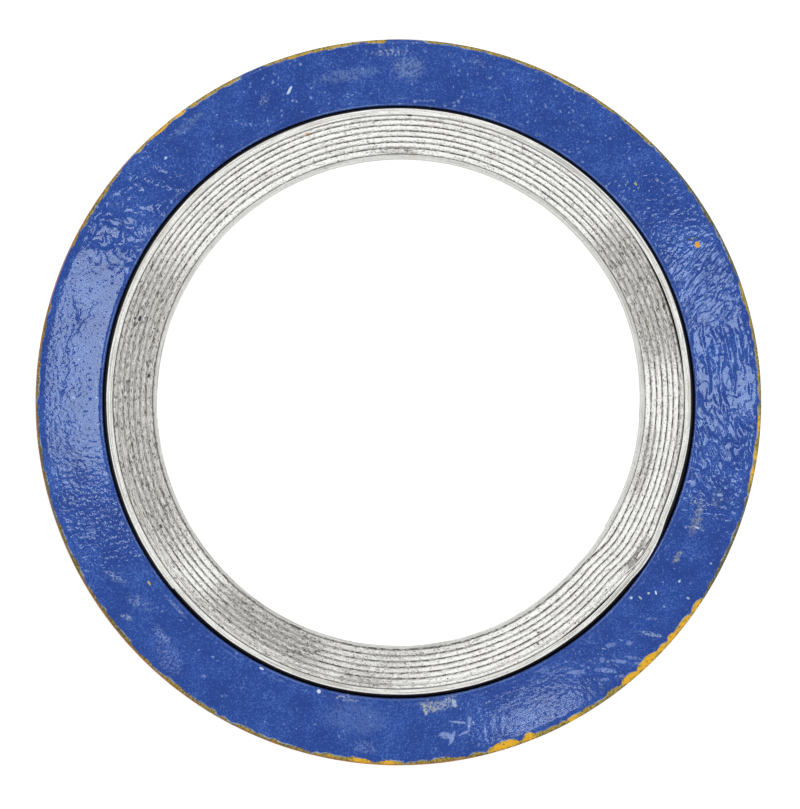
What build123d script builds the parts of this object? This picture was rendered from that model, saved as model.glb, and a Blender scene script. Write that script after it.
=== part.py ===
"""Spiral wound gasket with an outer centring ring, for a 3 inch raised-face flange.

A V-section metal strip and a graphite filler tape are wound together, turn on turn.
The first and last turns of the strip have no filler between them.
The winding steps out by one pitch once a turn, in a short S-bend, and is round elsewhere.
The V of the outermost turn snaps into a groove in the bore of a flat steel ring.

Frame: millimetres, Z along the bore, origin on the bore's axis at mid-thickness.
Angles are in degrees, anticlockwise from +X as seen from above.
"""

from build123d import *
from math import cos, radians, sin, sqrt
import os

# centring ring
ring_outer_diameter = 149.4
ring_bore_diameter = 122.0
ring_thickness = 3.0
rim_chamfer_width = 0.6
rim_chamfer_height = 0.45
lip_chamfer = 0.25

# winding
winding_outer_diameter = 120.65
strip_width = 4.5
strip_thickness = 0.2
chevron_depth = 1.0
filler_thickness = 0.975
filler_crown = 0.15
crest_share = 0.42
inner_plies = 4
filler_turns = 7
outer_plies = 6
mandrel_flat = 0.08

# where each turn steps out, and where the strip ends
bend_start = 318.0
bend_end = 329.0
strip_end = 219.6

# radii of the winding at the strip's edges, worked out from the outside inwards
pitch = strip_thickness + filler_thickness
winding_radius = winding_outer_diameter / 2
filled_outer_radius = winding_radius - outer_plies * strip_thickness
filled_inner_radius = filled_outer_radius - filler_turns * pitch + strip_thickness
first_ply_radius = filled_inner_radius - inner_plies * strip_thickness
bore_radius = first_ply_radius + mandrel_flat
half_width = strip_width / 2
bend_arc = bend_end - bend_start
round_arc = 360.0 - bend_arc
last_turn_arc = 360.0 - bend_end + strip_end


def radial_plane(angle):
    """The upright plane through the bore's axis at an angle, with X outwards and Y up."""
    outwards = Vector(cos(radians(angle)), sin(radians(angle)), 0)
    return Plane(origin=(0, 0, 0), x_dir=outwards, z_dir=outwards.cross(Vector(0, 0, 1)))


start_plane = radial_plane(bend_start)
end_plane = radial_plane(bend_end)


def plies(plane, inner_radius, outer_radius, overlap=0.0):
    """The section of plies that touch, between two radii: a V that points outwards.

    An overlap makes both flanks longer, so that the section can trim something taller.
    """
    top = half_width + overlap
    lead = chevron_depth * overlap / half_width
    with BuildSketch(plane) as section:
        with BuildLine():
            Polyline(
                (inner_radius - lead, top),
                (outer_radius - lead, top),
                (outer_radius + chevron_depth, 0),
                (outer_radius - lead, -top),
                (inner_radius - lead, -top),
                (inner_radius + chevron_depth, 0),
                close=True,
            )
        make_face()
    return section.sketch


def filled_turns(plane, step=0.0):
    """The section of the filled turns: a crowned filler turn between each two strip edges.

    It runs one turn past the filled zone on both sides, and is trimmed to the zone later.
    """
    valley = filled_inner_radius - strip_thickness / 2 - pitch + step
    roof = [(valley, half_width)]
    for turn in range(filler_turns + 2):
        roof.append((valley + crest_share * pitch, half_width + filler_crown))
        valley += pitch
        roof.append((valley, half_width))
    underside = [(radius, -height) for radius, height in reversed(roof)]
    with BuildSketch(plane) as section:
        with BuildLine():
            Polyline(*roof, *underside, close=True)
        make_face()
    return section.sketch


class SBend:
    """Two equal arcs that take a round turn of one radius out by one step.

    first_axis and first_arc turn a section on start_plane to the middle of the bend.
    second_axis and second_arc turn a section on end_plane back to the same place.
    """

    def __init__(self, radius, step):
        spread = 2 * (1 - cos(radians(bend_arc)))
        middle = (4 - spread) * step
        constant = spread * radius * (radius + step) + step**2
        arc_radius = (sqrt(middle**2 + 4 * spread * constant) - middle) / (2 * spread)
        first_centre = start_plane.x_dir * (radius + arc_radius)
        second_centre = end_plane.x_dir * (radius + step - arc_radius)
        between = second_centre - first_centre
        self.first_axis = Axis(first_centre, (0, 0, -1))
        self.first_arc = between.get_angle(start_plane.x_dir * -1)
        self.second_axis = Axis(second_centre, (0, 0, -1))
        self.second_arc = (between * -1).get_angle(end_plane.x_dir)


with BuildPart() as centring_ring:
    ring_bore_radius = ring_bore_diameter / 2
    groove_depth = winding_radius + chevron_depth - ring_bore_radius
    groove_half_width = half_width * groove_depth / chevron_depth
    with BuildSketch(Plane.XZ):
        with BuildLine():
            Polyline(
                (ring_bore_radius, ring_thickness / 2),
                (ring_outer_diameter / 2, ring_thickness / 2),
                (ring_outer_diameter / 2, -ring_thickness / 2),
                (ring_bore_radius, -ring_thickness / 2),
                (ring_bore_radius, -groove_half_width),
                (ring_bore_radius + groove_depth, 0),
                (ring_bore_radius, groove_half_width),
                close=True,
            )
        make_face()
    revolve(axis=Axis.Z)
    flat_faces = centring_ring.faces().filter_by(Axis.Z)
    rim_edges = flat_faces.edges().group_by(SortBy.RADIUS)[-1]
    lip_edges = flat_faces.edges().group_by(SortBy.RADIUS)[0]
    chamfer(lip_edges, length=lip_chamfer)
    for face in centring_ring.faces().filter_by(Axis.Z):
        edge = face.edges().sort_by(SortBy.RADIUS)[-1]
        chamfer(edge, length=rim_chamfer_width, length2=rim_chamfer_height, reference=face)

# the bare turns at the bore, where the strip begins, and the bare turns round the outside, where it ends
with BuildPart() as metal_strip:
    second_ply_radius = first_ply_radius + strip_thickness
    first_turn = plies(end_plane, first_ply_radius, filled_inner_radius)
    revolve(first_turn, axis=Axis.Z, revolution_arc=round_arc)
    revolve(plies(end_plane, second_ply_radius, filled_inner_radius), axis=Axis.Z)
    bend = SBend(first_ply_radius, strip_thickness)
    before = plies(start_plane, first_ply_radius, second_ply_radius + strip_thickness)
    after = plies(end_plane, second_ply_radius, second_ply_radius + 2 * strip_thickness)
    revolve(before, axis=bend.first_axis, revolution_arc=bend.first_arc)
    revolve(after, axis=bend.second_axis, revolution_arc=bend.second_arc)
    # the mandrel leaves the first turn's two edges flat, which is where the bore is measured
    Cylinder(bore_radius, strip_width, mode=Mode.SUBTRACT)

    under_last_ply = winding_radius - strip_thickness
    last_turn = plies(end_plane, under_last_ply - strip_thickness, winding_radius)
    revolve(last_turn, axis=Axis.Z, revolution_arc=last_turn_arc)
    revolve(plies(end_plane, filled_outer_radius, under_last_ply), axis=Axis.Z)
    bend = SBend(under_last_ply, strip_thickness)
    before = plies(start_plane, under_last_ply - 2 * strip_thickness, under_last_ply)
    after = plies(end_plane, under_last_ply - strip_thickness, winding_radius)
    revolve(before, axis=bend.first_axis, revolution_arc=bend.first_arc)
    revolve(after, axis=bend.second_axis, revolution_arc=bend.second_arc)

# the filled turns, in one piece with the strip's edges between them, trimmed to the V of the bare turns
with BuildPart() as graphite_filler:
    middle_radius = (filled_inner_radius + filled_outer_radius) / 2
    bend = SBend(middle_radius, pitch)
    revolve(filled_turns(end_plane), axis=Axis.Z, revolution_arc=round_arc)
    revolve(filled_turns(start_plane), axis=bend.first_axis, revolution_arc=bend.first_arc)
    revolve(filled_turns(end_plane, pitch), axis=bend.second_axis, revolution_arc=bend.second_arc)
    zone = plies(end_plane, filled_inner_radius, filled_outer_radius, overlap=filler_crown)
    revolve(zone, axis=Axis.Z, mode=Mode.INTERSECT)

centring_ring.part.label = "centring_ring"
metal_strip.part.label = "metal_strip"
graphite_filler.part.label = "graphite_filler"

os.makedirs("parts", exist_ok=True)
export_step(centring_ring.part, "parts/centring_ring.step")
export_step(metal_strip.part, "parts/metal_strip.step")
export_step(graphite_filler.part, "parts/graphite_filler.step")
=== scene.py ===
"""Dresses the spiral wound gasket: coated centring ring, wound metal strip and graphite filler.

Sizes are millimetres and angles are degrees, anticlockwise from +X as seen from above.
The winding's strip and filler are one rule, a tape that steps out by its pitch once a turn,
so both come from the same geometry tree.
"""

import logging
import math
from dataclasses import dataclass, field
from enum import Enum
from functools import cached_property

import bpy
import numpy as np
from mathutils import Matrix, Vector


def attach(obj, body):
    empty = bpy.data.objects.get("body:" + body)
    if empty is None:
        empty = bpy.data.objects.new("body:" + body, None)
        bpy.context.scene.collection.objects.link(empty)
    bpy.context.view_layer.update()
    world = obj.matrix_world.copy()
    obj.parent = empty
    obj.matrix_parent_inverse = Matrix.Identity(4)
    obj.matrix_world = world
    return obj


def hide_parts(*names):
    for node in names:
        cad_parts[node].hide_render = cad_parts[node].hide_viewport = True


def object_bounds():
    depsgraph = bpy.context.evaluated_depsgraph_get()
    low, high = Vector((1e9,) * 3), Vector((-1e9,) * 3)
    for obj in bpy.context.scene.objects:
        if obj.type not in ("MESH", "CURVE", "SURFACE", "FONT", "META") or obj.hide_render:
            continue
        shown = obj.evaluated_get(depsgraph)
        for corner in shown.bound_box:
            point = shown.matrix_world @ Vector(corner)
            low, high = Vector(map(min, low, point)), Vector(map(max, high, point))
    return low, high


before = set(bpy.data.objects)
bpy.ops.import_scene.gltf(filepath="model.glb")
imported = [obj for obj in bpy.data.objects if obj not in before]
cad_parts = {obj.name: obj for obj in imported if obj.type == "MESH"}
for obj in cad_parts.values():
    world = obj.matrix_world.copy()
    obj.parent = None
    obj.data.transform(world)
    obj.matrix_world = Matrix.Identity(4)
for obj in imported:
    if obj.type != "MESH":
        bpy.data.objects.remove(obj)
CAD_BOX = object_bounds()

MM = 0.001
FULL_TURN = 360.0
RING_BORE = 61.0
RING_RIM = 74.66
STRIP_HALF_WIDTH = 2.25
log = logging.getLogger("gasket")

Colour = tuple[float, float, float, float]
Place = tuple[float, float, float]
Section = list[tuple[float, float, float]]
WHITE: Colour = (1.0, 1.0, 1.0, 1.0)


def paint(red: int, green: int, blue: int) -> Colour:
    """A shade written as on a paint card, 0 to 255, as the linear colour that a shader takes.

    Args:
        red: Red on the card.
        green: Green on the card.
        blue: Blue on the card.

    Returns:
        Linear red, green, blue and full alpha.
    """
    shares = [value / 255 for value in (red, green, blue)]
    linear = [s / 12.92 if s <= 0.04045 else ((s + 0.055) / 1.055) ** 2.4 for s in shares]
    return (linear[0], linear[1], linear[2], 1.0)


def heading(angle: float) -> Place:
    """The level unit direction at an angle."""
    return (math.cos(math.radians(angle)), math.sin(math.radians(angle)), 0.0)


def angles_off(angles: np.ndarray, middle: float) -> np.ndarray:
    """How far each angle is from a middle one, the short way round."""
    return np.abs((angles - middle + FULL_TURN / 2) % FULL_TURN - FULL_TURN / 2)


def add_object(name: str, data: bpy.types.ID) -> bpy.types.Object:
    """Puts a mesh, a lamp or a camera in the scene.

    Args:
        name: The object's name.
        data: What it shows.

    Returns:
        The new object, at the origin.
    """
    made = bpy.data.objects.new(name, data)
    bpy.context.scene.collection.objects.link(made)
    return made


class Wire:
    """One value that runs through a node tree, on which arithmetic adds math nodes."""

    def __init__(self, bench: "Bench", socket: bpy.types.NodeSocket) -> None:
        """Keeps the socket and the bench that adds the nodes."""
        self.bench = bench
        self.socket = socket

    def __add__(self, other: "Wire | float") -> "Wire":
        """The sum."""
        return self.bench.math("ADD", self, other)

    def __sub__(self, other: "Wire | float") -> "Wire":
        """The difference."""
        return self.bench.math("SUBTRACT", self, other)

    def __rsub__(self, other: float) -> "Wire":
        """A number less this value."""
        return self.bench.math("SUBTRACT", other, self)

    def __mul__(self, other: "Wire | float") -> "Wire":
        """The product."""
        return self.bench.math("MULTIPLY", self, other)

    def __truediv__(self, other: "Wire | float") -> "Wire":
        """The quotient."""
        return self.bench.math("DIVIDE", self, other)

    def __abs__(self) -> "Wire":
        """The value without its sign."""
        return self.bench.math("ABSOLUTE", self)

    __radd__ = __add__
    __rmul__ = __mul__


Feed = Wire | float | int | str | bool | tuple | object


class Bench:
    """Adds and joins the nodes of one tree, for a material or for a shape."""

    def __init__(self, tree: bpy.types.NodeTree) -> None:
        """Empties the tree and keeps it."""
        self.tree = tree
        tree.nodes.clear()

    def node(self, kind: str, feeds: dict[int | str, Feed], **settings: Feed) -> bpy.types.Node:
        """Adds a node.

        Args:
            kind: The node's type name.
            feeds: What each input takes, by its index or its name.
            settings: The node's own properties.

        Returns:
            The new node.
        """
        made = self.tree.nodes.new(kind)
        for name, value in settings.items():
            setattr(made, name, value)
        for key, value in feeds.items():
            if isinstance(value, Wire):
                self.tree.links.new(value.socket, made.inputs[key])
            else:
                made.inputs[key].default_value = value
        return made

    def wire(self, kind: str, feeds: dict[int | str, Feed], out: int | str = 0, **settings: Feed) -> Wire:
        """Adds a node and takes one of its outputs."""
        return Wire(self, self.node(kind, feeds, **settings).outputs[out])

    def math(self, operation: str, *values: "Wire | float") -> Wire:
        """A math node."""
        return self.wire("ShaderNodeMath", dict(enumerate(values)), operation=operation)

    def larger(self, first: Wire, second: "Wire | float") -> Wire:
        """The larger of two numbers."""
        return self.math("MAXIMUM", first, second)

    def smaller(self, first: Wire, second: "Wire | float") -> Wire:
        """The smaller of two numbers."""
        return self.math("MINIMUM", first, second)

    def vector(self, operation: str, *values: Feed, out: int | str = 0) -> Wire:
        """A vector math node."""
        return self.wire("ShaderNodeVectorMath", dict(enumerate(values)), out=out, operation=operation)

    def scaled(self, vector: Wire, scale: "Wire | float") -> Wire:
        """A vector times a number."""
        return self.wire("ShaderNodeVectorMath", {0: vector, "Scale": scale}, operation="SCALE")

    def dot(self, first: Feed, second: Feed) -> Wire:
        """How far the first vector goes along the second."""
        return self.vector("DOT_PRODUCT", first, second, out="Value")

    def split(self, vector: Wire) -> tuple[Wire, Wire, Wire]:
        """The X, Y and Z of a vector."""
        parts = self.node("ShaderNodeSeparateXYZ", {0: vector})
        return Wire(self, parts.outputs[0]), Wire(self, parts.outputs[1]), Wire(self, parts.outputs[2])

    def joined(self, x: Feed, y: Feed, z: Feed) -> Wire:
        """A vector from its X, Y and Z."""
        return self.wire("ShaderNodeCombineXYZ", {0: x, 1: y, 2: z})

    def point(self, outwards: Wire, distance: "Wire | float", height: Feed) -> Wire:
        """The point at a distance from the axis, in a level direction, and at a height."""
        return self.vector("ADD", self.scaled(outwards, distance), self.joined(0.0, 0.0, height))

    def rise(self, value: Wire, low: float, high: float, least: Feed = 0.0, most: Feed = 1.0) -> Wire:
        """Goes smoothly from least at low to most at high, and stays there."""
        feeds = {0: value, 1: low, 2: high, 3: least, 4: most}
        return self.wire("ShaderNodeMapRange", feeds, interpolation_type="SMOOTHSTEP")

    def noise(self, vector: Wire, scale: float, detail: float = 2.0, rough: float = 0.5,
              twist: float = 0.0) -> Wire:
        """Cloudy noise from 0 to 1."""
        feeds = {"Vector": vector, "Scale": scale, "Detail": detail, "Roughness": rough, "Distortion": twist}
        return self.wire("ShaderNodeTexNoise", feeds)

    def cells(self, vector: Wire, scale: float, out: str = "Distance") -> Wire:
        """Scattered cells: the distance to the nearest centre, or that cell's colour."""
        return self.wire("ShaderNodeTexVoronoi", {"Vector": vector, "Scale": scale}, out=out)

    def blend(self, share: Feed, first: Feed, second: Feed) -> Wire:
        """Between two numbers, by a share."""
        return self.wire("ShaderNodeMix", {0: share, 2: first, 3: second}, data_type="FLOAT")

    def tint(self, share: Feed, first: Feed, second: Feed) -> Wire:
        """Between two colours, by a share."""
        return self.wire("ShaderNodeMix", {0: share, 6: first, 7: second}, out=2, data_type="RGBA")

    def arc(self, outwards: Wire, centre: float, half: float, soft: float) -> Wire:
        """1 within an arc of directions and 0 outside it.

        Args:
            outwards: The level unit direction from the axis.
            centre: The arc's middle angle.
            half: Half the arc's width.
            soft: The angle over which it fades, centred on the arc's ends.

        Returns:
            The arc's share.
        """
        outside = math.cos(math.radians(min(half + soft / 2, FULL_TURN / 2)))
        inside = math.cos(math.radians(max(half - soft / 2, 0)))
        return self.rise(self.dot(outwards, heading(centre)), outside, inside)

    def seen(self) -> Wire:
        """1 for rays from the camera, in gloss and through glass, and 0 for other light.

        Returns:
            The share by which a surface or the sky shows its own white.
        """
        path = self.node("ShaderNodeLightPath", {})
        camera = Wire(self, path.outputs["Is Camera Ray"])
        gloss = Wire(self, path.outputs["Is Glossy Ray"])
        glass = Wire(self, path.outputs["Is Transmission Ray"])
        return self.larger(self.larger(camera, gloss), glass)


@dataclass(frozen=True)
class Arc:
    """A stretch of directions round the axis.

    Args:
        centre: Its middle angle.
        half: Half its width.
        soft: The angle over which it fades, centred on its ends.
    """

    centre: float
    half: float
    soft: float


@dataclass(frozen=True)
class Spot:
    """A mark on the upper face.

    Args:
        angle: Where it is round the axis.
        radius: How far it is from the axis.
        length: Its size round the turn.
        width: Its size across.
        colour: Its colour.
        strength: How well it covers.
        slant: How far its length leans in from the turn's own direction.
        broken: How much the grit breaks it up, 0 to 1.
    """

    angle: float
    radius: float
    length: float
    width: float
    colour: Colour
    strength: float = 1.0
    slant: float = 0.0
    broken: float = 0.0


@dataclass(frozen=True)
class Crease:
    """A hairline crease in the enamel.

    Args:
        angle: Where its middle is round the axis.
        radius: How far that is from the axis.
        length: Its length.
        slant: How far it leans in from the turn's own direction.
        width: Its width.
    """

    angle: float
    radius: float
    length: float
    slant: float
    width: float = 0.5


class Surface(Bench):
    """The node tree of one material, with the coordinates that all finishes use."""

    def __init__(self, name: str) -> None:
        """Starts a material, its object coordinates in millimetres and its grit.

        Args:
            name: The material's name.
        """
        self.material = bpy.data.materials.new(name)
        self.material.use_nodes = True
        super().__init__(self.material.node_tree)
        place = self.wire("ShaderNodeTexCoord", {}, out="Object")
        self.place = self.scaled(place, 1 / MM)
        x, y, self.z = self.split(self.place)
        level = self.joined(x, y, 0.0)
        self.radius = self.vector("LENGTH", level, out="Value")
        self.outwards = self.vector("NORMALIZE", level)
        self.grit = self.noise(self.place, 2.4, 3.0, 0.7)
        self.ragged = (self.noise(self.place, 1.3, 2.0) - 0.5) * 2.2

    def attribute(self, name: str) -> Wire:
        """A number that the mesh carries."""
        return self.wire("ShaderNodeAttribute", {}, out="Fac", attribute_name=name)

    def within(self, arc: Arc) -> Wire:
        """1 within an arc and 0 outside it."""
        return self.arc(self.outwards, arc.centre, arc.half, arc.soft)

    def jittered(self, scale: float, push: float) -> Wire:
        """The place, pushed about by a noise.

        Args:
            scale: The noise's scale.
            push: How far it pushes, in millimetres.

        Returns:
            The uneven place.
        """
        noise = self.wire("ShaderNodeTexNoise", {"Vector": self.place, "Scale": scale}, out="Color")
        offset = self.vector("SUBTRACT", noise, (0.5, 0.5, 0.5))
        return self.vector("ADD", self.place, self.scaled(offset, push))

    def along_turns(self, length: float, width: float) -> Wire:
        """Coordinates for marks that follow the turns, without a seam.

        Args:
            length: How long a mark is round the turn.
            width: How wide it is.

        Returns:
            A vector on which a noise of scale 1 has marks of that size.
        """
        turn_radius = 55.0
        return self.point(self.outwards, turn_radius / length, self.radius / width)

    def along(self, direction: float, length: float, width: float) -> Wire:
        """Coordinates for marks that run in one level direction.

        Args:
            direction: The angle that they run at.
            length: How long a mark is.
            width: How wide it is.

        Returns:
            A vector on which a noise of scale 1 has marks of that size.
        """
        ahead = self.dot(self.place, heading(direction)) / length
        aside = self.dot(self.place, heading(direction + 90)) / width
        return self.joined(ahead, aside, self.z)

    def streaks(self, length: float, width: float, detail: float, rough: float = 0.5) -> Wire:
        """A noise of marks that follow the turns."""
        return self.noise(self.along_turns(length, width), 1.0, detail, rough)

    def dots(self, scale: float, edge: float, core: float, few: float, sure: float) -> Wire:
        """Round dots in some of the cells of a scatter.

        Args:
            scale: How many cells there are to a millimetre.
            edge: How far from its cell's centre a dot ends.
            core: How far from it the dot is full.
            few: The share of the cells that have no dot.
            sure: The share of them past which a cell's dot is full.

        Returns:
            1 in the dots and 0 between them.
        """
        pick, _, _ = self.split(self.cells(self.place, scale, out="Color"))
        return self.rise(self.cells(self.place, scale), edge, core) * self.rise(pick, few, sure)

    def reach(self, mark: Spot | Crease, place: Wire) -> Wire:
        """How far a place is from a mark's middle, where 1 is its edge; far off on the underside.

        Args:
            mark: The spot or crease.
            place: The place, in millimetres.

        Returns:
            The distance as a share of the mark's own size.
        """
        offset = self.vector("SUBTRACT", place, tuple(Vector(heading(mark.angle)) * mark.radius))
        lean = mark.angle + mark.slant
        across = self.dot(offset, heading(lean)) / (mark.width / 2)
        along = self.dot(offset, heading(lean + 90)) / (mark.length / 2)
        below = self.smaller(self.z, 0.0) * 9.0
        return self.vector("LENGTH", self.joined(across, along, below), out="Value")

    def spotted(self, colour: Wire, spots: tuple[Spot, ...]) -> Wire:
        """Lays spots over a colour.

        Args:
            colour: The colour so far.
            spots: The spots.

        Returns:
            The colour with the spots on it.
        """
        for spot in spots:
            soft = 0.12 + 0.6 * spot.broken
            edge = self.reach(spot, self.place) + self.ragged * (0.4 + spot.broken)
            share = self.rise(edge, 1.0 + soft, 1.0 - soft)
            if spot.broken:
                share = share * self.rise(self.grit, 0.30 + 0.22 * spot.broken, 0.40 + 0.30 * spot.broken)
            colour = self.tint(share * spot.strength, colour, spot.colour)
        return colour

    def bump(self, height: Wire, depth: float, after: Wire | None = None) -> Wire:
        """A fine relief.

        Args:
            height: The relief, about 0 to 1.
            depth: How deep it is, in millimetres.
            after: The relief that it lies on, if any.

        Returns:
            The uneven normal.
        """
        feeds: dict[int | str, Feed] = {"Height": height, "Distance": depth * MM, "Strength": 1.0}
        if after is not None:
            feeds["Normal"] = after
        return self.wire("ShaderNodeBump", feeds)

    def finish(self, **feeds: Feed) -> bpy.types.Material:
        """Ends the tree in one shader.

        Args:
            feeds: What the shader's inputs take; underscores in their names stand for spaces.

        Returns:
            The finished material.
        """
        named = {name.replace("_", " "): value for name, value in feeds.items()}
        shader = self.wire("ShaderNodeBsdfPrincipled", named)
        self.node("ShaderNodeOutputMaterial", {"Surface": shader})
        return self.material


@dataclass(frozen=True)
class Ripples:
    """A stretch where the orange peel is drawn out into ripples.

    Args:
        arc: Where they are.
        direction: The angle that they run at, or None where they follow the turn.
        length: How long a ripple is.
        width: How wide it is.
        strength: How much of the relief's depth they take.
    """

    arc: Arc
    direction: float | None
    length: float
    width: float
    strength: float

    def shape(self, s: Surface) -> Wire:
        """The ripples as a noise.

        Args:
            s: The material's tree.

        Returns:
            Their height, about 0 to 1.
        """
        if self.direction is None:
            place = s.along_turns(self.length, self.width)
        else:
            place = s.along(self.direction, self.length, self.width)
        return s.noise(place, 1.0, 1.0, 0.45, 0.5)


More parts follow.
